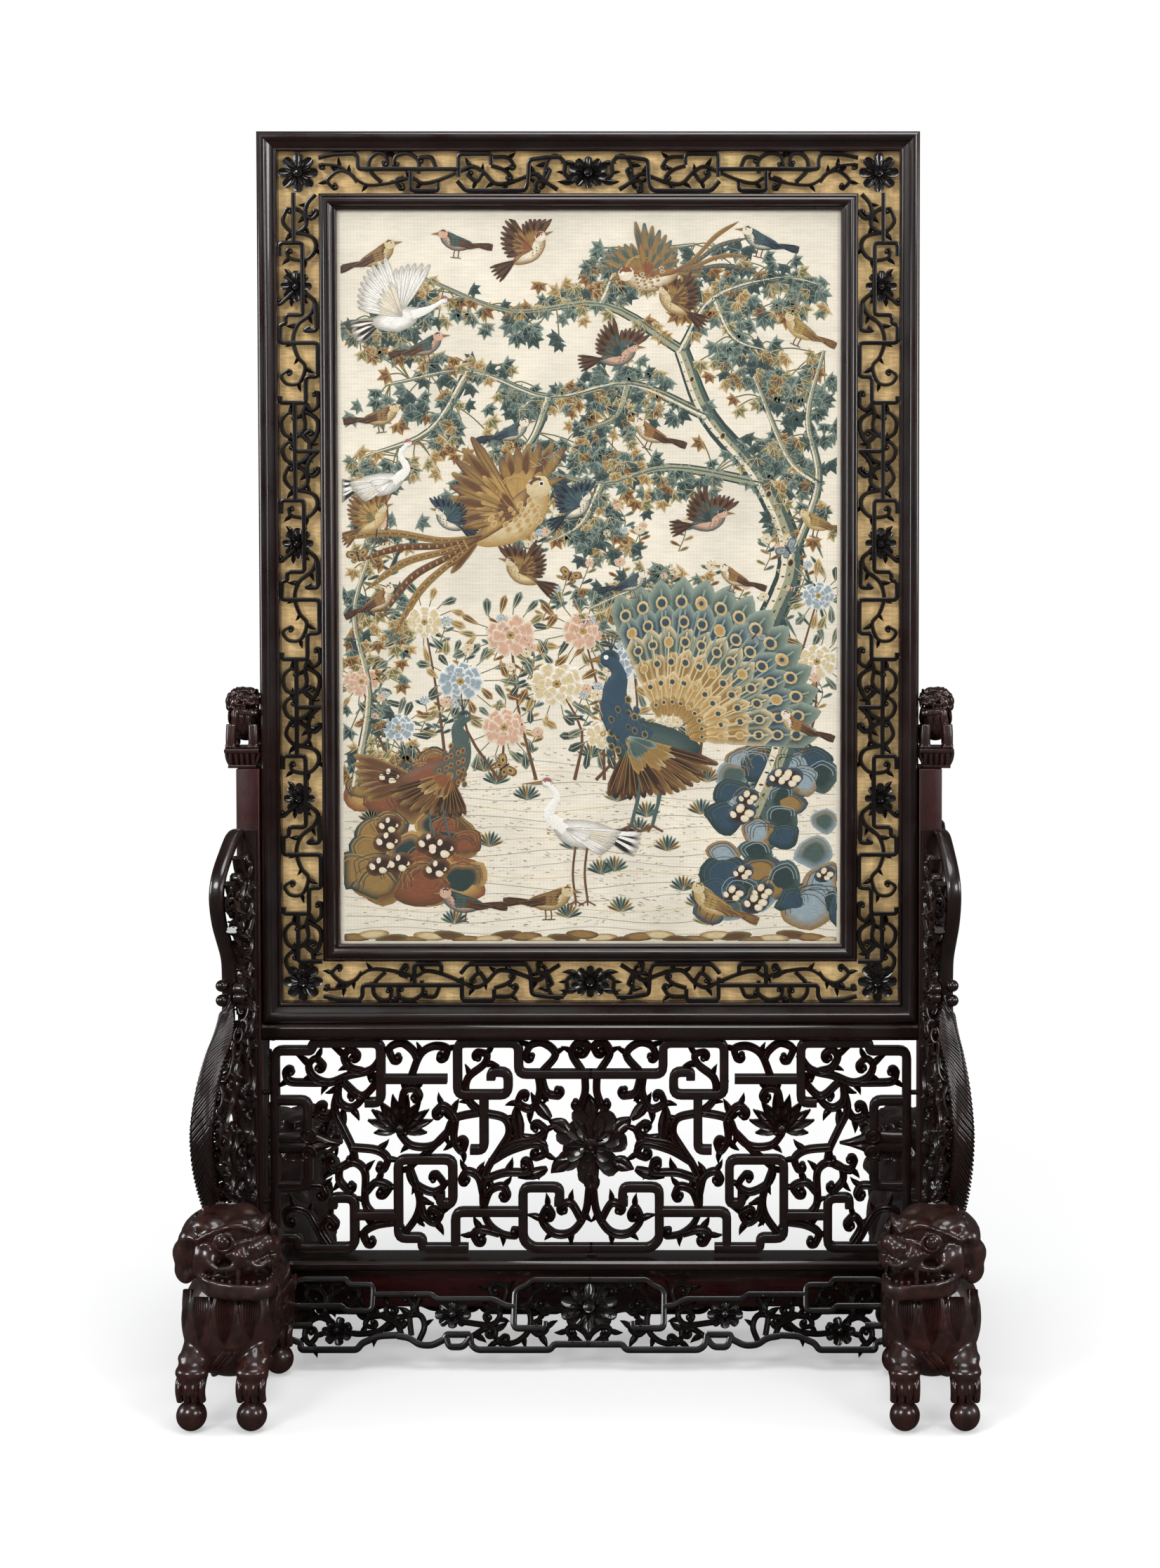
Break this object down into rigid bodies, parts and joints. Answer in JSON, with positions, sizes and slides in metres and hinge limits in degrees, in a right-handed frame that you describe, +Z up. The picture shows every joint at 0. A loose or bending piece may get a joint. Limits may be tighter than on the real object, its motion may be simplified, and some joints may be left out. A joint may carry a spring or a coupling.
{
  "type": "pierced hardwood screen",
  "caption": "Carved hardwood floor screen: an embroidered silk panel in a pierced fretwork border slides up out of the posts of an openwork stand on lion-shaped feet.",
  "frame": {"origin": "on the floor, under the middle of the stand", "axes": "+Z up, +X along the screen's width, the embroidered front faces -Y"},
  "size_m": [1.157, 0.677, 1.8541],
  "materials": {
    "dark_hardwood": "polished, waxed",
    "red_hardwood": "satin, waxed",
    "ebonised_hardwood": "polished",
    "golden_silk": "matt silk on a board",
    "ivory_silk": "satin silk, embroidered"
  },
  "bodies": {
    "stand": {"post_left": "red_hardwood", "post_right": "red_hardwood", "upper_rail": "dark_hardwood", "lower_rail": "dark_hardwood", "skirt_board": "red_hardwood", "pierced_panel": "dark_hardwood", "panel_peg_lower_left": "dark_hardwood", "panel_peg_lower_right": "dark_hardwood", "panel_peg_upper_left": "dark_hardwood", "panel_peg_upper_right": "dark_hardwood", "panel_spacer": "dark_hardwood", "apron_front": "ebonised_hardwood", "apron_back": "ebonised_hardwood", "spandrel_front_left": "dark_hardwood", "spandrel_front_right": "dark_hardwood", "spandrel_back_left": "dark_hardwood", "spandrel_back_right": "dark_hardwood", "lion_foot_left": "dark_hardwood", "lion_foot_right": "dark_hardwood", "ball_front_fore_inner_left": "dark_hardwood", "ball_front_fore_inner_right": "dark_hardwood", "ball_front_fore_outer_left": "dark_hardwood", "ball_front_fore_outer_right": "dark_hardwood", "ball_front_hind_inner_left": "dark_hardwood", "ball_front_hind_inner_right": "dark_hardwood", "ball_front_hind_outer_left": "dark_hardwood", "ball_front_hind_outer_right": "dark_hardwood", "ball_back_fore_inner_left": "dark_hardwood", "ball_back_fore_inner_right": "dark_hardwood", "ball_back_fore_outer_left": "dark_hardwood", "ball_back_fore_outer_right": "dark_hardwood", "ball_back_hind_inner_left": "dark_hardwood", "ball_back_hind_inner_right": "dark_hardwood", "ball_back_hind_outer_left": "dark_hardwood", "ball_back_hind_outer_right": "dark_hardwood", "finial_lion_left": "dark_hardwood", "finial_lion_right": "dark_hardwood"},
    "screen": {"outer_frame_left": "dark_hardwood", "outer_frame_right": "dark_hardwood", "outer_frame_top": "dark_hardwood", "outer_frame_bottom": "dark_hardwood", "inner_frame_left": "dark_hardwood", "inner_frame_right": "dark_hardwood", "inner_frame_top": "dark_hardwood", "inner_frame_bottom": "dark_hardwood", "embroidered_silk_panel": "ivory_silk", "silk_lined_board": "golden_silk", "back_panel": "red_hardwood", "back_batten_lower": "red_hardwood", "back_batten_upper": "red_hardwood", "fret_bottom": "ebonised_hardwood", "fret_top": "ebonised_hardwood", "fret_left": "ebonised_hardwood", "fret_right": "ebonised_hardwood", "corner_flower_bottom_left": "ebonised_hardwood", "corner_flower_bottom_right": "ebonised_hardwood", "corner_flower_top_left": "ebonised_hardwood", "corner_flower_top_right": "ebonised_hardwood"}
  },
  "joints": [
    {"name": "screen_lift", "type": "slide", "parent": "stand", "child": "screen", "axis": [0, 0, 1], "range_m": [0, 0.52]}
  ]
}
